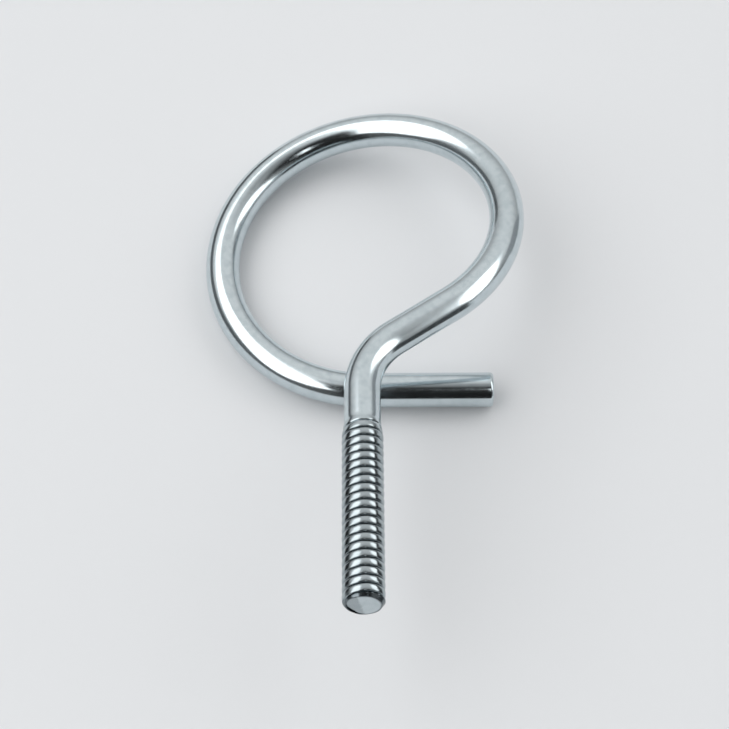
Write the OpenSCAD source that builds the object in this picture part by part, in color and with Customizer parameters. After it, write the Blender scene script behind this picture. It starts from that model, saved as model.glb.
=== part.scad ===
// Bridle ring: one length of round steel wire, threaded at one end and bent into an open ring for cables.
// The wire runs from the thread along a plain neck, cranks to one side, then coils once round as a helix,
// so that its tail passes behind the neck and leaves a mouth that a cable slips in through.
// The ring lies as it comes to rest on a table, +Z up, with its shank towards -Y and its loop towards +Y.
// The origin is on the shank's axis, at the end of the full thread.

/* [Wire] */
// Diameter of the plain wire
wire_d = 4.2; // [3:0.1:6]

/* [Shank] */
// Outside diameter of the thread
thread_d = 4.8; // [3:0.1:8]
// Length of the full thread, from its tip
thread_l = 22.7; // [8:0.1:60]
// Chamfer at the tip of the thread
tip_chamfer = 0.4; // [0.1:0.05:1]
// Length over which the thread runs out to the plain wire
runout_l = 0.8; // [0.2:0.1:3]
// Length of the plain neck, between the run-out and the crank
neck_l = 4.6; // [1:0.1:30]

/* [Crank] */
// Radius of the crank's bend, at the middle of the wire
crank_r = 9.5; // [5:0.5:16]

/* [Ring] */
// Inside diameter of the ring
ring_inside = 31.75; // [22:0.25:60]
// Angle at which the wire joins the ring, round from the side nearest the shank
ring_start = 37; // [30:1:60]
// Distance of the ring's middle from the shank's axis, positive on the side that the crank bends to
ring_offset = -0.5; // [-3:0.1:3]
// Lead of the coil, from the start of the ring to its end
lead = 11.3; // [7:0.1:20]

/* [Tail] */
// Length of the straight tail past the ring
tail_l = 15; // [4:0.5:24]
// Rounding of the tail's cut edge
tail_round = 0.4; // [0.1:0.05:1]

/* [Resting place] */
// Angle by which the shank rises from the table towards its tip
rest_rise = 6.2; // [0:0.1:15]
// Angle by which the ring leans about the shank's axis
rest_lean = 5; // [0:0.1:15]

/* [Hidden] */
$fn = 96;

wire_r = wire_d / 2;
thread_r = thread_d / 2;
deg_per_rad = 180 / PI;

// The coil is bent in an odd number of arcs, each flat in the helix's own plane at its middle.
// Along the wire every second length is thinner by let_in, and runs into its neighbours by lap.
coil_arcs = 13;
let_in = 0.02;
lap = 0.3;
thin_r = wire_r - let_in;

// The coil turns from ring_start to the side nearest the shank again, and falls by lead on the way.
ring_r = ring_inside / 2 + wire_r;
coil_turn = 360 - ring_start;
slope = atan(lead * deg_per_rad / (ring_r * coil_turn));
coil_bend_r = ring_r / pow(cos(slope), 2);
arc_half_turn = coil_turn * cos(slope) / coil_arcs / 2;
arc_lap_turn = lap / coil_bend_r * deg_per_rad;
edge_steps = 6;

// The crank bends the wire from the shank's axis to the direction in which the coil starts.
coil_aim = [cos(slope) * cos(ring_start), cos(slope) * sin(ring_start), -sin(slope)];
crank_turn = acos(coil_aim.y);
crank_lean = atan2(-coil_aim.z, coil_aim.x);
crank_lap_turn = lap / crank_r * deg_per_rad;
crank_side = crank_r * (1 - cos(crank_turn));
neck_end = runout_l + neck_l;
crank_end = [
  crank_side * cos(crank_lean),
  neck_end + crank_r * sin(crank_turn),
  -crank_side * sin(crank_lean),
];

// A straight stretch carries the wire on to the ring, as far as the ring's place needs.
straight_l = (ring_offset + ring_r * sin(ring_start) - crank_end.x) / coil_aim.x;
coil_start = crank_end + straight_l * coil_aim;
ring_middle = coil_start - ring_r * [sin(ring_start), -cos(ring_start), 0];
coil_end = ring_middle - [0, ring_r, lead];

// Round wire swept along an arc of the given radius, from the X axis, in the XY plane.
module wire_arc(bend_r, turn, r)
  rotate_extrude(angle = turn)
    translate([bend_r, 0])
      circle(r = r);

// Puts its children, drawn up the Z axis, at a point along the wire's direction at an angle round the ring.
module along_wire(point, angle)
  translate(point)
    rotate([0, 90 + slope, angle])
      children();

// Threaded shank with its chamfered tip, run-out and plain neck, turned about the Y axis.
module shank()
  translate([0, -thread_l, 0])
    rotate([-90, 0, 0])
      rotate_extrude()
        polygon([
          [0, 0],
          [thread_r - tip_chamfer, 0],
          [thread_r, tip_chamfer],
          [thread_r, thread_l],
          [wire_r, thread_l + runout_l],
          [wire_r, thread_l + neck_end],
          [0, thread_l + neck_end],
        ]);

// Bend at the end of the neck.
module crank()
  rotate([0, crank_lean, 0])
    translate([crank_r, neck_end, 0])
      rotate([0, 0, 180 - crank_turn - crank_lap_turn])
        wire_arc(crank_r, crank_turn + 2 * crank_lap_turn, thin_r);

// Straight stretch between the crank and the ring.
module straight()
  along_wire(crank_end, ring_start)
    cylinder(h = straight_l, r = wire_r);

// One arc of the coil, at its share of the turn and of the lead.
module coil_arc(index) {
  share = (index + 0.5) / coil_arcs;
  thin = index % 2 == 0;
  half_turn = thin ? arc_half_turn + arc_lap_turn : arc_half_turn;
  rotate([0, 0, ring_start + share * coil_turn])
    translate([0, -ring_r, -share * lead])
      rotate([0, slope, 0])
        translate([0, coil_bend_r, 0])
          rotate([0, 0, -90 - half_turn])
            wire_arc(coil_bend_r, 2 * half_turn, thin ? thin_r : wire_r);
}

// The ring itself, one open turn of a helix.
module coil()
  translate(ring_middle)
    for (index = [0:coil_arcs - 1])
      coil_arc(index);

// Straight tail with its rounded cut edge.
module tail()
  along_wire(coil_end, 360)
    rotate_extrude()
      polygon(concat(
        [[0, 0], [wire_r, 0]],
        [for (step = [0:edge_steps])
          let (a = 90 * step / edge_steps)
            [wire_r - tail_round * (1 - cos(a)), tail_l - tail_round * (1 - sin(a))]],
        [[0, tail_l]]
      ));

// The whole wire, laid as it rests.
module bridle_ring()
  color("silver")
    rotate([-rest_rise, 0, 0])
      rotate([0, -rest_lean, 0])
        union() {
          shank();
          crank();
          straight();
          coil();
          tail();
        }

bridle_ring();
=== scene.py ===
"""Dresses the bridle ring: one bent steel wire with a rolled thread, bright zinc plated, on a pale floor."""

import logging
import math
from dataclasses import dataclass
from enum import Enum
from typing import Any, Dict, List, Optional, Sequence, Tuple, Union

import bpy
from mathutils import Matrix, Quaternion, Vector


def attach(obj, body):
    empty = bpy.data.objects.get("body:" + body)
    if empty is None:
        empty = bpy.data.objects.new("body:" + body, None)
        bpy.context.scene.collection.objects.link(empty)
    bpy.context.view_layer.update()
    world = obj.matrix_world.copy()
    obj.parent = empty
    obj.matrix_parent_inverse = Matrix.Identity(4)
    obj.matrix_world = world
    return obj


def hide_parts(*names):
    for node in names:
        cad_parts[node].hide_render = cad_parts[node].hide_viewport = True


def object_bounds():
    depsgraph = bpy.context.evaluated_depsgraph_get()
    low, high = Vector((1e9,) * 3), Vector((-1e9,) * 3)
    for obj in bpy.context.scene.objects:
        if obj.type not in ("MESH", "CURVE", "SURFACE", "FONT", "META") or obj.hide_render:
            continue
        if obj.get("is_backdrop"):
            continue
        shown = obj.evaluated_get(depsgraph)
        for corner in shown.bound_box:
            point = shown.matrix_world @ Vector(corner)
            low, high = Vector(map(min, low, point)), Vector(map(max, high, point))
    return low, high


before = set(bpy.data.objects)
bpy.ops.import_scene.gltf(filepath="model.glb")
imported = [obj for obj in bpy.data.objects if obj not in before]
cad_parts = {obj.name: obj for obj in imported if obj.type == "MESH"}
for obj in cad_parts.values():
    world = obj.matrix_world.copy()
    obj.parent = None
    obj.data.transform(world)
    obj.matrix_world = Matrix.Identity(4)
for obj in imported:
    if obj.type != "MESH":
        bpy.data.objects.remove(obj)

MM = 0.001
Triple = Tuple[float, float, float]
Socket = bpy.types.NodeSocket
Tree = bpy.types.NodeTree
Outputs = bpy.types.NodeOutputs

log = logging.getLogger("bridle_ring")


def linear(code: str) -> Tuple[float, float, float, float]:
    """Turns a colour written as sRGB hex into the linear values a shader takes.

    Args:
        code: The colour as "#RRGGBB".

    Returns:
        Red, green, blue and an alpha of one.
    """
    channels = [int(code[i:i + 2], 16) / 255.0 for i in (1, 3, 5)]
    flat = [c / 12.92 if c <= 0.04045 else ((c + 0.055) / 1.055) ** 2.4 for c in channels]
    return flat[0], flat[1], flat[2], 1.0


def add_node(
    tree: Tree,
    kind: str,
    inputs: Optional[Dict[Union[str, int], Any]] = None,
    captures: Sequence[Tuple[str, str]] = (),
    **settings: Any,
) -> bpy.types.Node:
    """Adds one node, sets it and feeds its inputs.

    Args:
        tree: The tree that takes the node.
        kind: The node's type name.
        inputs: For each input by name or place: a value, an output socket to link from,
            or a node whose first output is linked.
        captures: The type and name of each field that a capturing node holds.
        **settings: Attributes of the node itself.

    Returns:
        The new node.
    """
    node = tree.nodes.new(kind)
    for name, value in settings.items():
        setattr(node, name, value)
    for data_type, name in captures:
        node.capture_items.new(data_type, name)
    for key, value in (inputs or {}).items():
        source = value.outputs[0] if isinstance(value, bpy.types.Node) else value
        if isinstance(source, Socket):
            tree.links.new(source, node.inputs[key])
        else:
            node.inputs[key].default_value = source
    return node


class Stage(Enum):
    """The parts of the studio that carry a name of their own."""

    FLOOR = "floor"
    LEFT_BOX = "softbox_left"
    RIGHT_BOX = "softbox_right"
    STRIP = "strip_front"
    RIGHT_LAMP = "lamp_right"
    FRONT_LAMP = "lamp_front"
    LEFT_CARD = "card_left"
    RIGHT_CARD = "card_right"
    BACK_CARD = "card_back"
    LEFT_FLAG = "flag_left"
    RIGHT_FLAG = "flag_right"


class Use(Enum):
    """What a lit panel is there for."""

    BOTH = "lights the floor and shows in the metal"
    SHOWN = "only shows in the metal"
    LIGHT = "only lights the floor"


class Way(Enum):
    """The direction that a ramp of the room's light follows, by its place in a vector."""

    RIGHT = 0
    FAR = 1
    UP = 2


class Light(Enum):
    """The ramps that the room's light is mixed from."""

    ROOF_LEFT = "the roof towards the left"
    ROOF_RIGHT = "what the right adds to the roof"
    RISE = "the change from the low sides to the roof"
    BACK = "the change from the sides to the back wall"
    WALL = "the back wall"
    AHEAD = "the change from all that to the front"
    FRONT_RIGHT = "the front towards the right"
    FRONT_LEFT = "what the left adds to the front"


@dataclass(frozen=True)
class BrightZinc:
    """Bright zinc plate on drawn steel wire.

    A cool, near-mirror grey whose reflections wobble a little with the draw lines
    and the thin, uneven plate. It goes duller in the thread's grooves and darker there by painted shade; the
    tip's face and chamfer are darkened too.
    """

    name: str = "bright_zinc_plate"
    plate: str = "#D0DADE"
    thin_plate: str = "#C8D3D7"
    # The dark colour of the grooves' painted shade and of the darkened tip
    groove_shade_and_tip_dark: str = "#4A5257"
    shine: float = 0.14
    dull: float = 0.20
    groove_dulling: float = 0.08
    wave_mm: Triple = (2.2, 2.2, 5.5)
    wave_detail: float = 1.0
    wave_depth_mm: float = 0.010
    ripple_mm: Triple = (1.1, 1.1, 1.6)
    ripple_detail: float = 1.0
    ripple_depth_mm: float = 0.0026
    line_mm: Triple = (0.28, 0.28, 12.0)
    line_detail: float = 2.0
    line_depth_mm: float = 0.0005
    mottle_mm: float = 0.9
    mottle_detail: float = 3.0
    thin_from: float = 0.42
    thin_to: float = 0.66
    dull_from: float = 0.30
    dull_to: float = 0.75

    def pattern(self, tree: Tree, place: Socket, size: Triple, detail: float) -> Socket:
        """Adds a cloud pattern whose features have a real size.

        Args:
            tree: The material's tree.
            place: The point on the straightened wire, in millimetres.
            size: The size of a feature across, across and along the wire, in millimetres.
            detail: How many finer layers the cloud has.

        Returns:
            The socket that gives the pattern, from 0 to 1.
        """
        spread = tuple(1.0 / s for s in size)
        scaled = add_node(tree, "ShaderNodeVectorMath", {0: place, 1: spread}, operation="MULTIPLY")
        cloud = add_node(tree, "ShaderNodeTexNoise", {"Vector": scaled, "Scale": 1.0, "Detail": detail})
        return cloud.outputs["Fac"]

    def relief(self, tree: Tree, place: Socket) -> Socket:
        """Adds the plate's waves, ripples and draw lines, one bump on the next.

        Args:
            tree: The material's tree.
            place: The point on the straightened wire, in millimetres.

        Returns:
            The socket that gives the normal.
        """
        normal = None
        for size, detail, depth in (
            (self.wave_mm, self.wave_detail, self.wave_depth_mm),
            (self.ripple_mm, self.ripple_detail, self.ripple_depth_mm),
            (self.line_mm, self.line_detail, self.line_depth_mm),
        ):
            bump = add_node(
                tree,
                "ShaderNodeBump",
                {"Height": self.pattern(tree, place, size, detail), "Strength": 1.0, "Distance": depth * MM},
            )
            if normal is not None:
                tree.links.new(normal, bump.inputs["Normal"])
            normal = bump.outputs[0]
        return normal

    def material(self) -> bpy.types.Material:
        """Builds the plated metal.

        Returns:
            The material, which reads the wire's own attributes.
        """
        made = bpy.data.materials.new(self.name)
        made.use_nodes = True
        tree = made.node_tree
        shader = tree.nodes["Principled BSDF"]
        place = add_node(tree, "ShaderNodeAttribute", attribute_name="straight").outputs["Vector"]
        groove_shade_and_tip_dark = add_node(tree, "ShaderNodeAttribute", attribute_name="groove_shade_and_tip_dark").outputs["Fac"]
        mottle = self.pattern(tree, place, (self.mottle_mm,) * 3, self.mottle_detail)
        patch = add_node(
            tree,
            "ShaderNodeMapRange",
            {"Value": mottle, "From Min": self.thin_from, "From Max": self.thin_to},
        )
        plate = add_node(
            tree,
            "ShaderNodeMix",
            {0: patch, 6: linear(self.plate), 7: linear(self.thin_plate)},
            data_type="RGBA",
        )
        # Painted shade: the plate goes towards the dark colour in the thread's grooves and on the darkened
        # tip
        colour = add_node(
            tree,
            "ShaderNodeMix",
            {0: groove_shade_and_tip_dark, 6: plate.outputs[2], 7: linear(self.groove_shade_and_tip_dark)},
            data_type="RGBA",
        )
        gloss = add_node(
            tree,
            "ShaderNodeMapRange",
            {
                "Value": mottle, "From Min": self.dull_from, "From Max": self.dull_to,
                "To Min": self.shine, "To Max": self.dull,
            },
        )
        rough = add_node(
            tree, "ShaderNodeMath", {0: groove_shade_and_tip_dark, 1: self.groove_dulling, 2: gloss}, operation="MULTIPLY_ADD"
        )
        tree.links.new(colour.outputs[2], shader.inputs["Base Color"])
        tree.links.new(rough.outputs[0], shader.inputs["Roughness"])
        tree.links.new(self.relief(tree, place), shader.inputs["Normal"])
        shader.inputs["Metallic"].default_value = 1.0
        return made


@dataclass(frozen=True)
class Station:
    """One place on the wire's middle line.

    Args:
        middle: The point, in millimetres.
        girth: The wire's radius there, in millimetres.
    """

    middle: Vector
    girth: float


@dataclass
class WirePath:
    """The wire's middle line and radius from the thread's tip to the tail's end.

    Lengths are in millimetres and angles in degrees. The steps are how many pieces each stretch is drawn in.
    """

    wire_d: float = 4.2
    thread_d: float = 4.8
    pitch: float = 25.4 / 24.0
    root_depth: float = 0.52
    thread_l: float = 22.7
    runout_l: float = 0.8
    neck_l: float = 4.6
    crank_r: float = 9.5
    ring_inside: float = 31.75
    ring_start: float = 37.0
    ring_offset: float = -0.5
    lead: float = 11.3
    tail_l: float = 15.0
    tail_round: float = 0.4
    rest_rise: float = 6.2
    rest_lean: float = 5.0
    fade_l: float = 1.8
    face_step: float = 0.004
    face_rings: Tuple[float, ...] = (0.02, 0.25, 0.5, 0.75, 0.93)
    pitch_steps: int = 30
    neck_steps: int = 12
    crank_steps: int = 30
    straight_steps: int = 18
    coil_steps: int = 270
    tail_steps: int = 30
    round_steps: int = 8

    @property
    def wire_r(self) -> float:
        """The plain wire's radius."""
        return self.wire_d / 2.0

    @property
    def root_r(self) -> float:
        """The radius at the bottom of the thread's grooves."""
        return self.thread_d / 2.0 - self.root_depth

    @property
    def ring_r(self) -> float:
        """The radius of the ring at the middle of the wire."""
        return self.ring_inside / 2.0 + self.wire_r

    @property
    def face_l(self) -> float:
        """The small length of wire that the rings of an end face take."""
        return self.face_step * len(self.face_rings)

    def shank(self) -> List[Station]:
        """Lays the threaded shank and the plain neck along the Y axis.

        Returns:
            Stations from the tip's face to the start of the crank.
        """
        rows = []
        for i, share in enumerate(self.face_rings):
            y = -self.thread_l - self.face_l + i * self.face_step
            rows.append(Station(Vector((0.0, y, 0.0)), share * self.root_r))
        total = self.thread_l + self.runout_l
        count = round(total / (self.pitch / self.pitch_steps))
        for i in range(count + 1):
            along = total * i / count
            t = min(max((along - total + self.fade_l) / self.fade_l, 0.0), 1.0)
            girth = self.root_r + (self.wire_r - self.root_r) * t
            rows.append(Station(Vector((0.0, along - self.thread_l, 0.0)), girth))
        for i in range(1, self.neck_steps + 1):
            y = self.runout_l + self.neck_l * i / self.neck_steps
            rows.append(Station(Vector((0.0, y, 0.0)), self.wire_r))
        return rows

    def crank(self, aim: Vector) -> List[Station]:
        """Bends the wire from the shank's axis to the direction in which the coil starts.

        Args:
            aim: That direction.

        Returns:
            Stations from the neck's end to the end of the bend.
        """
        turn = math.acos(aim.y)
        lean = math.atan2(-aim.z, aim.x)
        side = Vector((math.cos(lean), 0.0, -math.sin(lean)))
        neck_end = self.runout_l + self.neck_l
        rows = []
        for i in range(1, self.crank_steps + 1):
            a = turn * i / self.crank_steps
            out = side * (self.crank_r * (1.0 - math.cos(a)))
            on = Vector((0.0, neck_end + self.crank_r * math.sin(a), 0.0))
            rows.append(Station(out + on, self.wire_r))
        return rows

    def tail(self, start: Vector, run: Vector) -> List[Station]:
        """Lays the straight tail with its rounded edge and its end face.

        Args:
            start: The end of the coil.
            run: The tail's direction.

        Returns:
            Stations from the coil's end to the tail's end face.
        """
        flat_l = self.tail_l - self.tail_round
        rows = []
        for i in range(1, self.tail_steps + 1):
            rows.append(Station(start + run * (flat_l * i / self.tail_steps), self.wire_r))
        for i in range(1, self.round_steps + 1):
            a = math.pi / 2.0 * i / self.round_steps
            spot = start + run * (flat_l + self.tail_round * math.sin(a))
            rows.append(Station(spot, self.wire_r - self.tail_round * (1.0 - math.cos(a))))
        for i, share in enumerate(reversed(self.face_rings)):
            spot = start + run * (self.tail_l + (i + 1) * self.face_step)
            rows.append(Station(spot, share * (self.wire_r - self.tail_round)))
        return rows

    def bends(self) -> List[Station]:
        """Lays the crank, the straight run, the coil and the tail after the neck.

        Returns:
            Stations from the crank's start to the tail's end face.
        """
        start = math.radians(self.ring_start)
        turn = 2.0 * math.pi - start
        slope = math.atan(self.lead / (self.ring_r * turn))
        level = math.cos(slope)
        aim = Vector((level * math.cos(start), level * math.sin(start), -math.sin(slope)))
        rows = self.crank(aim)
        crank_end = rows[-1].middle
        straight_l = (self.ring_offset + self.ring_r * math.sin(start) - crank_end.x) / aim.x
        for i in range(1, self.straight_steps + 1):
            rows.append(Station(crank_end + aim * (straight_l * i / self.straight_steps), self.wire_r))
        hub = rows[-1].middle - Vector((self.ring_r * math.sin(start), -self.ring_r * math.cos(start), 0.0))
        for i in range(1, self.coil_steps + 1):
            a = start + turn * i / self.coil_steps
            drop = -self.lead * i / self.coil_steps
            round_hub = Vector((self.ring_r * math.sin(a), -self.ring_r * math.cos(a), drop))
            rows.append(Station(hub + round_hub, self.wire_r))
        return rows + self.tail(rows[-1].middle, Vector((level, 0.0, -math.sin(slope))))

    def stations(self) -> List[Station]:
        """Puts the whole wire into the part's frame, lying as it rests.

        Returns:
            The stations in order from the tip.
        """
        rise = Matrix.Rotation(math.radians(-self.rest_rise), 3, "X")
        lean = Matrix.Rotation(math.radians(-self.rest_lean), 3, "Y")
        rest = rise @ lean
        return [Station(rest @ row.middle, row.girth) for row in self.shank() + self.bends()]


@dataclass(frozen=True)
class Swept:
    """What the sweep leaves on each vertex of the wire.

    Args:
        mesh: The plain tube.
        along: The length from the tip's face.
        girth: The tube's radius.
        heading: The direction of the wire.
        away: The vector from the middle line.
        place: The point on a circle of radius one.
    """

    mesh: Socket
    along: Socket
    girth: Socket
    heading: Socket
    away: Socket
    place: Socket


@dataclass(frozen=True)
class Shaped:
    """How one form moves the tube's vertices, and darkens and dulls them, partly with painted shade.

    Args:
        offset: The move.
        shade_and_tip_dark: How much the form darkens the plate: painted shade in the thread's grooves,
            partly painted shade on the torn side of the tip's face, and a darker tip.
    """

    offset: Socket
    shade_and_tip_dark: Socket


@dataclass
class BridleRing:
    """The wire as one piece: a swept tube with its thread rolled on by a node tree.

    The profile gives a ridge's height, as a share of the thread's depth, from one groove to the next.
    Lengths are in millimetres, and the wander and the phase are shares of the pitch.
    The face's fall is a slope, and the sharp angle is in degrees.
    """

    path: WirePath
    finish: BrightZinc
    name: str = "bridle_ring_wire"
    sides: int = 72
    tip_r: float = 2.1
    chamfer_l: float = 0.4
    phase: float = 0.23
    wear: float = 0.045
    wander: float = 0.16
    chip: float = 0.20
    wear_per_mm: float = 1.1
    wear_detail: float = 3.0
    seed: float = 7.0
    face_fall: float = 0.16
    ridge_place: float = 0.3
    torn_side: Triple = (-0.98, 0.0, -0.2)
    # The share of the crest kept clear of the grooves' painted shade
    crest_clear: float = 0.65
    face_dull: float = 0.15
    # The torn side of the tip's face is darkened partly as its duller finish and partly as painted shade
    torn_dull_and_shade: float = 0.32
    rim_dull: float = 0.45
    side_share: float = 0.98
    sharp_angle: float = 38.0
    profile: Tuple[Tuple[float, float], ...] = (
        (0.0, 0.0), (0.04, 0.34), (0.08, 0.60), (0.12, 0.76), (0.17, 0.84), (0.25, 0.90), (0.38, 0.955),
        (0.52, 0.985), (0.66, 1.0), (0.77, 0.98), (0.85, 0.92), (0.90, 0.80), (0.935, 0.62), (0.97, 0.32),
        (1.0, 0.0),
    )

    def rail(self) -> bpy.types.Object:
        """Draws the wire's middle line as a curve with a radius at each point.

        Returns:
            The curve object, linked to the scene.
        """
        stations = self.path.stations()
        curve = bpy.data.curves.new(self.name + "_rail", "CURVE")
        curve.dimensions = "3D"
        spline = curve.splines.new("POLY")
        spline.points.add(len(stations) - 1)
        for point, station in zip(spline.points, stations):
            point.co = (*(station.middle * MM), 1.0)
            point.radius = station.girth * MM
        made = bpy.data.objects.new(self.name + "_rail", curve)
        bpy.context.scene.collection.objects.link(made)
        return made

    def sweep(self, tree: Tree, size: Outputs) -> Swept:
        """Sweeps a circle along the rail and keeps the wire's own coordinates on each vertex.

        Args:
            tree: The node tree.
            size: The tree's named inputs.

        Returns:
            The plain tube and its coordinates.
        """
        spline = add_node(tree, "GeometryNodeSplineParameter")
        spot = add_node(tree, "GeometryNodeInputPosition")
        rail = add_node(
            tree,
            "GeometryNodeCaptureAttribute",
            {
                "Geometry": size["Geometry"],
                "length": spline.outputs["Length"],
                "girth": add_node(tree, "GeometryNodeInputRadius"),
                "middle": spot,
                "heading": add_node(tree, "GeometryNodeInputTangent"),
            },
            captures=(("FLOAT", "length"), ("FLOAT", "girth"), ("VECTOR", "middle"), ("VECTOR", "heading")),
        )
        circle = add_node(
            tree, "GeometryNodeCurvePrimitiveCircle", {"Resolution": size["Sides"], "Radius": 1.0}
        )
        rim = add_node(
            tree,
            "GeometryNodeCaptureAttribute",
            {"Geometry": circle, "place": spot},
            captures=(("VECTOR", "place"),),
        )
        tube = add_node(
            tree,
            "GeometryNodeCurveToMesh",
            {
                "Curve": rail.outputs["Geometry"],
                "Profile Curve": rim.outputs["Geometry"],
                "Scale": rail.outputs["girth"],
                "Fill Caps": True,
            },
        )
        along = add_node(
            tree, "ShaderNodeMath", {0: rail.outputs["length"], 1: size["Face Length"]}, operation="SUBTRACT"
        )
        away = add_node(
            tree, "ShaderNodeVectorMath", {0: spot, 1: rail.outputs["middle"]}, operation="SUBTRACT"
        )
        return Swept(
            mesh=tube.outputs[0],
            along=along.outputs[0],
            girth=rail.outputs["girth"],
            heading=rail.outputs["heading"],
            away=away.outputs[0],
            place=rim.outputs["place"],
        )

    def crest(self, tree: Tree, size: Outputs, wire: Swept, worn: Socket) -> Socket:
        """Adds the thread's profile, which turns once round the wire for each pitch.

        Args:
            tree: The node tree.
            size: The tree's named inputs.
            wire: The plain tube.
            worn: The cloud that makes the thread a little uneven.

        Returns:
            The socket that gives the height, as a share of the thread's depth.
        """
        place = add_node(tree, "ShaderNodeSeparateXYZ", {0: wire.place})
        angle = add_node(
            tree, "ShaderNodeMath", {0: place.outputs[1], 1: place.outputs[0]}, operation="ARCTAN2"
        )
        turns = add_node(tree, "ShaderNodeMath", {0: wire.along, 1: size["Pitch"]}, operation="DIVIDE")
        per_turn = -0.5 / math.pi
        wound = add_node(tree, "ShaderNodeMath", {0: angle, 1: per_turn, 2: turns}, operation="MULTIPLY_ADD")
        start = add_node(
            tree, "ShaderNodeMath", {0: worn, 1: size["Wander"], 2: size["Phase"]}, operation="MULTIPLY_ADD"
        )
        started = add_node(tree, "ShaderNodeMath", {0: wound, 1: start}, operation="ADD")
        share = add_node(tree, "ShaderNodeMath", {0: started}, operation="FRACT")
        crest = add_node(tree, "ShaderNodeFloatCurve", {"Value": share})
        curve = crest.mapping.curves[0]
        curve.points[0].location = self.profile[0]
        curve.points[1].location = self.profile[-1]
        for across, height in self.profile[1:-1]:
            curve.points.new(across, height)
        crest.mapping.update()
        return crest.outputs[0]

    def roll(self, tree: Tree, size: Outputs, wire: Swept) -> Shaped:
        """Rolls the thread on, with its run-out and the chipped chamfer at its tip.

        Args:
            tree: The node tree.
            size: The tree's named inputs.
            wire: The plain tube.

        Returns:
            The thread's rise from the tube, and the painted shade of its grooves with the darkening of its
            chamfered rim.
        """
        spot = add_node(tree, "GeometryNodeInputPosition")
        cloud = add_node(
            tree,
            "ShaderNodeTexNoise",
            {"Vector": spot, "W": size["Seed"], "Scale": self.wear_per_mm / MM, "Detail": self.wear_detail},
            noise_dimensions="4D",
        )
        worn = cloud.outputs["Fac"]
        crest = self.crest(tree, size, wire, worn)
        fade_start = add_node(
            tree, "ShaderNodeMath", {0: size["Thread End"], 1: size["Fade Length"]}, operation="SUBTRACT"
        )
        fade = add_node(
            tree,
            "ShaderNodeMapRange",
            {
                "Value": wire.along, "From Min": fade_start, "From Max": size["Thread End"],
                "To Min": 1.0, "To Max": 0.0,
            },
        )

        # The ridge's height, less what is worn off and what the chamfer takes
        full = add_node(tree, "ShaderNodeMath", {0: crest, 1: size["Thread Depth"]}, operation="MULTIPLY")
        loss = add_node(tree, "ShaderNodeMath", {0: worn, 1: size["Wear"]}, operation="MULTIPLY")
        rolled = add_node(tree, "ShaderNodeMath", {0: full, 1: loss}, operation="SUBTRACT")
        cone = add_node(
            tree,
            "ShaderNodeMath",
            {0: wire.along, 1: size["Chamfer Slope"], 2: size["Tip Rise"]},
            operation="MULTIPLY_ADD",
        )
        chips = add_node(tree, "ShaderNodeMath", {0: worn, 1: size["Chip"]}, operation="MULTIPLY")
        broken = add_node(tree, "ShaderNodeMath", {0: cone, 1: chips}, operation="SUBTRACT")
        cut = add_node(tree, "ShaderNodeMath", {0: rolled, 1: broken}, operation="MINIMUM")
        raised = add_node(tree, "ShaderNodeMath", {0: cut, 1: fade}, operation="MULTIPLY")

        # Only the wire's side is raised, not the rings of its end faces
        least = add_node(
            tree, "ShaderNodeMath", {0: size["Root Radius"], 1: self.side_share}, operation="MULTIPLY"
        )
        side = add_node(tree, "ShaderNodeMath", {0: wire.girth, 1: least}, operation="GREATER_THAN")
        grown = add_node(tree, "ShaderNodeMath", {0: raised, 1: side}, operation="MULTIPLY")
        radial = add_node(tree, "ShaderNodeVectorMath", {0: wire.away}, operation="NORMALIZE")
        thread = add_node(tree, "ShaderNodeVectorMath", {0: radial, "Scale": grown}, operation="SCALE")

        # Painted shade darkens the plate deep in a groove, and the chipped chamfer is darkened too; both
        # also turn duller
        shade_by_depth = add_node(
            tree, "ShaderNodeMath", {0: crest, 1: -self.crest_clear, 2: 1.0}, operation="MULTIPLY_ADD"
        )
        deep_groove_shade = add_node(tree, "ShaderNodeMath", {0: shade_by_depth, 1: fade}, operation="MULTIPLY")
        chamfered = add_node(tree, "ShaderNodeMath", {0: broken, 1: rolled}, operation="LESS_THAN")
        dull = add_node(
            tree, "ShaderNodeMath", {0: chamfered, 1: self.rim_dull, 2: deep_groove_shade}, operation="MULTIPLY_ADD"
        )
        shade_and_tip_dark = add_node(tree, "ShaderNodeMath", {0: dull, 1: side}, operation="MULTIPLY")
        return Shaped(offset=thread.outputs[0], shade_and_tip_dark=shade_and_tip_dark.outputs[0])

    def shear(self, tree: Tree, size: Outputs, wire: Swept) -> Shaped:
        """Shears the tip's end face, which falls away on one side of a slanting ridge; the face is darkened
        a little, and that side more, partly as the torn steel's duller finish and partly as painted shade.

        Args:
            tree: The node tree.
            size: The tree's named inputs.
            wire: The plain tube.

        Returns:
            The face's fall along the wire, and its dullness.
        """
        torn = add_node(
            tree, "ShaderNodeVectorMath", {0: wire.away, 1: size["Torn Side"]}, operation="DOT_PRODUCT"
        )
        past = add_node(
            tree, "ShaderNodeMath", {0: torn.outputs["Value"], 1: size["Ridge Place"]}, operation="SUBTRACT"
        )
        tip = add_node(tree, "ShaderNodeMath", {0: wire.along, 1: 0.0}, operation="LESS_THAN")
        fallen = add_node(tree, "ShaderNodeMath", {0: past, 1: 0.0}, operation="MAXIMUM")
        slant = add_node(tree, "ShaderNodeMath", {0: fallen, 1: size["Face Fall"]}, operation="MULTIPLY")
        sheared = add_node(tree, "ShaderNodeMath", {0: slant, 1: tip}, operation="MULTIPLY")
        face = add_node(
            tree, "ShaderNodeVectorMath", {0: wire.heading, "Scale": sheared}, operation="SCALE"
        )
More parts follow.
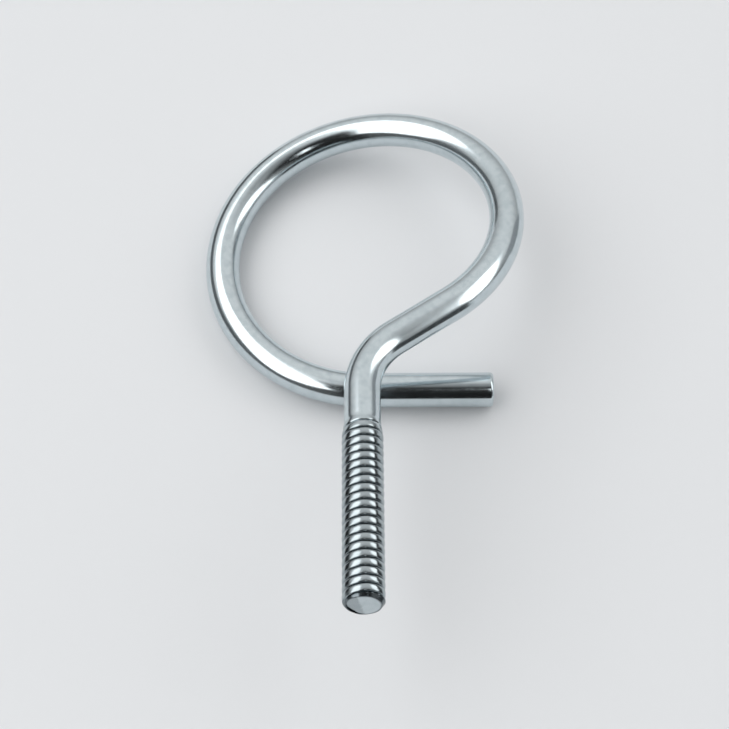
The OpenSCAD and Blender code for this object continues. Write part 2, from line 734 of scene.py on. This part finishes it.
        # Partly painted shade, partly the torn steel's duller finish: the side beyond the ridge is darkened
        # more
        rough_shaded_side = add_node(tree, "ShaderNodeMath", {0: past, 1: 0.0}, operation="GREATER_THAN")
        dull = add_node(
            tree,
            "ShaderNodeMath",
            {0: rough_shaded_side, 1: self.torn_dull_and_shade, 2: self.face_dull},
            operation="MULTIPLY_ADD",
        )
        shade_and_tip_dark = add_node(tree, "ShaderNodeMath", {0: dull, 1: tip}, operation="MULTIPLY")
        return Shaped(offset=face.outputs[0], shade_and_tip_dark=shade_and_tip_dark.outputs[0])

    def straighten(self, tree: Tree, wire: Swept) -> Socket:
        """Adds the point on the straightened wire, in millimetres, for the finish to read.

        Args:
            tree: The node tree.
            wire: The plain tube.

        Returns:
            The socket that gives the point.
        """
        across = add_node(
            tree, "ShaderNodeVectorMath", {0: wire.place, "Scale": wire.girth}, operation="SCALE"
        )
        down = add_node(tree, "ShaderNodeCombineXYZ", {2: wire.along})
        unrolled = add_node(tree, "ShaderNodeVectorMath", {0: across, 1: down}, operation="ADD")
        straight = add_node(
            tree, "ShaderNodeVectorMath", {0: unrolled, "Scale": 1.0 / MM}, operation="SCALE"
        )
        return straight.outputs[0]

    def tree(self) -> Tree:
        """Builds the node tree that sweeps the wire and rolls the thread.

        Returns:
            The tree, with a named input for each size.
        """
        tree = bpy.data.node_groups.new("swept_wire", "GeometryNodeTree")
        tree.interface.new_socket("Geometry", in_out="INPUT", socket_type="NodeSocketGeometry")
        tree.interface.new_socket("Sides", in_out="INPUT", socket_type="NodeSocketInt")
        for name in (
            "Face Length", "Pitch", "Phase", "Root Radius", "Thread Depth", "Thread End", "Fade Length",
            "Tip Rise", "Chamfer Slope", "Wear", "Wander", "Chip", "Seed", "Face Fall", "Ridge Place",
        ):
            tree.interface.new_socket(name, in_out="INPUT", socket_type="NodeSocketFloat")
        tree.interface.new_socket("Torn Side", in_out="INPUT", socket_type="NodeSocketVector")
        tree.interface.new_socket("Material", in_out="INPUT", socket_type="NodeSocketMaterial")
        tree.interface.new_socket("Geometry", in_out="OUTPUT", socket_type="NodeSocketGeometry")
        size = add_node(tree, "NodeGroupInput").outputs
        wire = self.sweep(tree, size)
        thread = self.roll(tree, size, wire)
        face = self.shear(tree, size, wire)
        shift = add_node(tree, "ShaderNodeVectorMath", {0: thread.offset, 1: face.offset}, operation="ADD")
        # The painted shade of the grooves and the darkened tip, summed for the finish to read
        dull = add_node(tree, "ShaderNodeMath", {0: thread.shade_and_tip_dark, 1: face.shade_and_tip_dark}, operation="ADD")
        shaped = add_node(tree, "GeometryNodeSetPosition", {"Geometry": wire.mesh, "Offset": shift})
        placed = add_node(
            tree,
            "GeometryNodeStoreNamedAttribute",
            {"Geometry": shaped, "Name": "straight", "Value": self.straighten(tree, wire)},
            data_type="FLOAT_VECTOR",
            domain="POINT",
        )
        marked = add_node(
            tree,
            "GeometryNodeStoreNamedAttribute",
            {"Geometry": placed, "Name": "groove_shade_and_tip_dark", "Value": dull},
            data_type="FLOAT",
            domain="POINT",
        )
        smooth = add_node(tree, "GeometryNodeSetShadeSmooth", {"Geometry": marked, "Shade Smooth": True})
        real = add_node(tree, "GeometryNodeRealizeInstances", {"Geometry": smooth})
        dressed = add_node(
            tree, "GeometryNodeSetMaterial", {"Geometry": real, "Material": size["Material"]}
        )
        add_node(tree, "NodeGroupOutput", {"Geometry": dressed})
        return tree

    def build(self) -> bpy.types.Object:
        """Sweeps the wire, turns it into a plain mesh and ties it to the frame.

        Returns:
            The finished piece.
        """
        path = self.path
        sizes: Dict[str, Any] = {
            "Sides": self.sides,
            "Face Length": path.face_l * MM,
            "Pitch": path.pitch * MM,
            "Phase": self.phase,
            "Root Radius": path.root_r * MM,
            "Thread Depth": path.root_depth * MM,
            "Thread End": (path.thread_l + path.runout_l) * MM,
            "Fade Length": path.fade_l * MM,
            "Tip Rise": (self.tip_r - path.root_r) * MM,
            "Chamfer Slope": (path.thread_d / 2.0 - self.tip_r) / self.chamfer_l,
            "Wear": self.wear * MM,
            "Wander": self.wander,
            "Chip": self.chip * MM,
            "Seed": self.seed,
            "Face Fall": self.face_fall,
            "Ridge Place": self.ridge_place * MM,
            "Torn Side": self.torn_side,
            "Material": self.finish.material(),
        }
        rail = self.rail()
        tree = self.tree()
        sweep = rail.modifiers.new("sweep", "NODES")
        sweep.node_group = tree
        for item in tree.interface.items_tree:
            if item.in_out == "INPUT" and item.name in sizes:
                sweep[item.identifier] = sizes[item.name]
        ready = bpy.context.evaluated_depsgraph_get()
        swept = rail.evaluated_get(ready)
        mesh = bpy.data.meshes.new_from_object(swept, preserve_all_data_layers=True, depsgraph=ready)
        rail.modifiers.remove(sweep)
        bpy.data.objects.remove(rail)
        mesh.set_sharp_from_angle(angle=math.radians(self.sharp_angle))
        piece = bpy.data.objects.new(self.name, mesh)
        bpy.context.scene.collection.objects.link(piece)
        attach(piece, "root")
        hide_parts("bridle_ring")
        return piece


@dataclass(frozen=True)
class Softbox:
    """A lit panel given by the directions of its corners from a point, fading towards its rim.

    A direction is an azimuth, from the far side towards the right, and an elevation, both in degrees.
    The distance is in metres, and the rim is the share of the panel that fades.
    """

    part: Stage
    corners: Tuple[Tuple[float, float], ...]
    strength: float
    distance: float = 0.9
    rim: float = 0.07
    use: Use = Use.BOTH
    seen_from_mm: Triple = (0.0, 0.0, 0.0)

    def outline(self) -> List[Vector]:
        """Puts the corners on one flat panel that faces the point it is seen from.

        Returns:
            The corners in metres.
        """
        ways = []
        for azimuth, elevation in self.corners:
            az = math.radians(azimuth)
            el = math.radians(elevation)
            flat = math.cos(el)
            ways.append(Vector((math.sin(az) * flat, math.cos(az) * flat, math.sin(el))))
        facing = sum(ways, Vector()).normalized()
        eye = Vector(self.seen_from_mm) * MM
        return [eye + way * (self.distance / way.dot(facing)) for way in ways]

    def build(self) -> bpy.types.Object:
        """Makes the panel, which the camera doesn't see.

        Returns:
            The panel, marked as stage.
        """
        outer = self.outline()
        count = len(outer)
        middle = sum(outer, Vector()) / count
        inner = [corner.lerp(middle, self.rim) for corner in outer]
        faces = [tuple(range(count, 2 * count))]
        for i in range(count):
            j = (i + 1) % count
            faces.append((i, j, count + j, count + i))
        mesh = bpy.data.meshes.new(self.part.value)
        mesh.from_pydata(outer + inner, [], faces)
        glow = mesh.attributes.new("glow", "FLOAT", "POINT")
        glow.data.foreach_set("value", [0.0] * count + [1.0] * count)
        cloth = bpy.data.materials.new(self.part.value + "_cloth")
        cloth.use_nodes = True
        tree = cloth.node_tree
        tree.nodes.clear()
        share = add_node(tree, "ShaderNodeAttribute", attribute_name="glow").outputs["Fac"]
        level = add_node(tree, "ShaderNodeMath", {0: share, 1: self.strength}, operation="MULTIPLY")
        lit = add_node(tree, "ShaderNodeEmission", {"Strength": level})
        add_node(tree, "ShaderNodeOutputMaterial", {"Surface": lit})
        mesh.materials.append(cloth)
        panel = bpy.data.objects.new(self.part.value, mesh)
        panel.visible_camera = False
        panel.visible_diffuse = self.use is not Use.SHOWN
        panel.visible_glossy = self.use is not Use.LIGHT
        panel.visible_shadow = self.use is not Use.SHOWN
        bpy.context.scene.collection.objects.link(panel)
        panel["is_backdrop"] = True
        return panel


@dataclass(frozen=True)
class Card:
    """A grey card or a black flag beside the part, which gives the metal its dark edges.

    Its foot runs through points in millimetres. It stands on the floor, or hangs with its lower edge at low.
    Only reflections show it, so it takes no light off the floor.
    """

    part: Stage
    foot: Tuple[Tuple[float, float], ...]
    top: float
    colour: str
    low: Optional[float] = None
    roughness: float = 0.9

    def build(self, floor_z: float) -> bpy.types.Object:
        """Sets the card up.

        Args:
            floor_z: The floor's height in metres.

        Returns:
            The card, marked as stage.
        """
        count = len(self.foot)
        base = floor_z if self.low is None else self.low * MM
        low = [(x * MM, y * MM, base) for x, y in self.foot]
        high = [(x * MM, y * MM, self.top * MM) for x, y in self.foot]
        faces = [(i, i + 1, count + i + 1, count + i) for i in range(count - 1)]
        mesh = bpy.data.meshes.new(self.part.value)
        mesh.from_pydata(low + high, [], faces)
        board = bpy.data.materials.new(self.part.value + "_board")
        board.use_nodes = True
        shader = board.node_tree.nodes["Principled BSDF"]
        shader.inputs["Base Color"].default_value = linear(self.colour)
        shader.inputs["Roughness"].default_value = self.roughness
        mesh.materials.append(board)
        card = bpy.data.objects.new(self.part.value, mesh)
        card.visible_camera = False
        card.visible_diffuse = False
        card.visible_shadow = False
        bpy.context.scene.collection.objects.link(card)
        card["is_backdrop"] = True
        return card


@dataclass(frozen=True)
class Ramp:
    """A smooth change of the room's light along one direction, from low at start to top at stop."""

    light: Light
    way: Way
    start: float
    stop: float
    low: float = 0.0
    top: float = 1.0


@dataclass
class Studio:
    """The pale floor, the soft light and the camera at the picture's viewing angle."""

    floor_z: float
    floor_size: float = 4.0
    floor_colour: str = "#E4E6E8"
    floor_roughness: float = 0.9
    floor_specular: float = 0.1
    target_mm: Triple = (0.283, 9.007, -0.954)
    azimuth: float = 1.70
    elevation: float = 60.69
    roll: float = -2.52
    distance_mm: float = 265.337
    lens: float = 113.58
    sensor_width: float = 36.0
    clip_start: float = 0.005
    low_side: float = 0.22
    ramps: Tuple[Ramp, ...] = (
        Ramp(Light.ROOF_LEFT, Way.RIGHT, 0.05, -0.25, 0.32, 0.95),
        Ramp(Light.ROOF_RIGHT, Way.RIGHT, 0.20, 0.50, 0.0, 0.16),
        Ramp(Light.RISE, Way.UP, 0.18, 0.75),
        Ramp(Light.BACK, Way.FAR, 0.02, 0.52),
        Ramp(Light.WALL, Way.UP, 0.05, 0.60, 0.45, 0.82),
        Ramp(Light.AHEAD, Way.FAR, 0.04, -0.32),
        Ramp(Light.FRONT_RIGHT, Way.RIGHT, 0.45, 0.85, 0.012, 0.36),
        Ramp(Light.FRONT_LEFT, Way.RIGHT, -0.12, -0.45, 0.0, 0.10),
    )
    boxes: Tuple[Softbox, ...] = (
        Softbox(
            Stage.LEFT_BOX,
            (
                (-16, 54), (-30, 42), (-44, 34), (-58, 32), (-70, 29), (-85, 28), (-100, 23), (-113, 17),
                (-128, 17), (-144, 28), (-160, 40),
            ),
            2.15,
        ),
        Softbox(
            Stage.RIGHT_BOX,
            (
                (47, 44), (56, 50), (75, 51), (92, 46), (104, 37), (113, 22), (108, 6), (92, 6), (78, 14),
                (64, 25), (52, 32),
            ),
            2.15,
            distance=0.11,
            use=Use.SHOWN,
            seen_from_mm=(6.0, 14.0, -1.0),
        ),
        Softbox(Stage.STRIP, ((148, 48), (158, 48), (160, 66), (148, 66)), 2.4, use=Use.SHOWN),
        Softbox(
            Stage.RIGHT_LAMP, ((40, 60), (94, 55), (103, 4), (72, 13), (24, 35)), 1.68, use=Use.LIGHT
        ),
        Softbox(Stage.FRONT_LAMP, ((145, 38), (215, 38), (215, 72), (145, 72)), 1.1, use=Use.LIGHT),
    )
    cards: Tuple[Card, ...] = (
        Card(Stage.LEFT_CARD, ((-50, 130), (-95, 80), (-95, -90)), 16.0, "#6A6C6E"),
        Card(Stage.RIGHT_CARD, ((48, 2), (34, -40)), 6.0, "#3A3C3E"),
        Card(Stage.BACK_CARD, ((92, 95), (120, 55)), 34.0, "#A0A2A4"),
        Card(Stage.LEFT_FLAG, ((-10, 5), (-10, -19)), 5.6, "#141516", low=0.4),
        Card(Stage.RIGHT_FLAG, ((10, 5), (10, -19)), 6.0, "#141516", low=3.0),
    )

    def floor(self) -> bpy.types.Object:
        """Lays a plain pale floor under the part.

        Returns:
            The floor, marked as stage.
        """
        half = self.floor_size / 2.0
        corners = [(x * half, y * half, self.floor_z) for x, y in ((-1, -1), (1, -1), (1, 1), (-1, 1))]
        mesh = bpy.data.meshes.new(Stage.FLOOR.value)
        mesh.from_pydata(corners, [], [(0, 1, 2, 3)])
        paper = bpy.data.materials.new("matt_paper")
        paper.use_nodes = True
        shader = paper.node_tree.nodes["Principled BSDF"]
        shader.inputs["Base Color"].default_value = linear(self.floor_colour)
        shader.inputs["Roughness"].default_value = self.floor_roughness
        shader.inputs["Specular IOR Level"].default_value = self.floor_specular
        mesh.materials.append(paper)
        floor = bpy.data.objects.new(Stage.FLOOR.value, mesh)
        bpy.context.scene.collection.objects.link(floor)
        floor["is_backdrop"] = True
        return floor

    def room(self) -> None:
        """Sets the room round the panels: pale at the back, dim overhead on the right and dark in front."""
        world = bpy.data.worlds.new("room")
        world.use_nodes = True
        tree = world.node_tree
        tree.nodes.clear()
        way = add_node(tree, "ShaderNodeTexCoord").outputs["Generated"]
        ways = add_node(tree, "ShaderNodeSeparateXYZ", {0: way}).outputs
        levels = {}
        for ramp in self.ramps:
            levels[ramp.light] = add_node(
                tree,
                "ShaderNodeMapRange",
                {
                    "Value": ways[ramp.way.value], "From Min": ramp.start, "From Max": ramp.stop,
                    "To Min": ramp.low, "To Max": ramp.top,
                },
                interpolation_type="SMOOTHSTEP",
            )
        roof = add_node(
            tree,
            "ShaderNodeMath",
            {0: levels[Light.ROOF_LEFT], 1: levels[Light.ROOF_RIGHT]},
            operation="ADD",
        )
        side = add_node(
            tree, "ShaderNodeMix", {0: levels[Light.RISE], 2: self.low_side, 3: roof}, data_type="FLOAT"
        )
        grey = add_node(
            tree, "ShaderNodeMix", {0: levels[Light.BACK], 2: side, 3: levels[Light.WALL]}, data_type="FLOAT"
        )
        dark = add_node(
            tree,
            "ShaderNodeMath",
            {0: levels[Light.FRONT_RIGHT], 1: levels[Light.FRONT_LEFT]},
            operation="ADD",
        )
        level = add_node(
            tree, "ShaderNodeMix", {0: levels[Light.AHEAD], 2: grey, 3: dark}, data_type="FLOAT"
        )
        shade = add_node(
            tree, "ShaderNodeBackground", {"Color": (1.0, 1.0, 1.0, 1.0), "Strength": level}
        )
        add_node(tree, "ShaderNodeOutputWorld", {"Surface": shade})
        bpy.context.scene.world = world

    def camera(self) -> bpy.types.Object:
        """Puts the camera where the picture was taken from.

        Returns:
            The camera, made the scene's own.
        """
        az = math.radians(self.azimuth)
        el = math.radians(self.elevation)
        away = Vector((math.sin(az) * math.cos(el), -math.cos(az) * math.cos(el), math.sin(el)))
        target = Vector(self.target_mm) * MM
        lens = bpy.data.cameras.new("camera")
        lens.lens = self.lens
        lens.sensor_width = self.sensor_width
        lens.clip_start = self.clip_start
        camera = bpy.data.objects.new("camera", lens)
        camera.location = target + away * self.distance_mm * MM
        camera.rotation_mode = "QUATERNION"
        level = (-away).to_track_quat("-Z", "Y")
        camera.rotation_quaternion = level @ Quaternion((0.0, 0.0, 1.0), math.radians(self.roll))
        bpy.context.scene.collection.objects.link(camera)
        bpy.context.scene.camera = camera
        return camera

    def build(self) -> None:
        """Sets up the whole studio and the plain view of its colours."""
        self.floor()
        for box in self.boxes:
            box.build()
        for card in self.cards:
            card.build(self.floor_z)
        self.room()
        self.camera()
        bpy.context.scene.view_settings.view_transform = "Standard"


def main() -> None:
    """Builds the piece and the studio."""
    logging.basicConfig(level=logging.INFO, format="%(message)s")
    cad = [list(corner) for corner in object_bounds()]
    piece = BridleRing(WirePath(), BrightZinc()).build()
    log.info("%s: %d vertices", piece.name, len(piece.data.vertices))
    Studio(floor_z=cad[0][2]).build()
    log.info("studio ready")


if __name__ == "__main__":
    main()
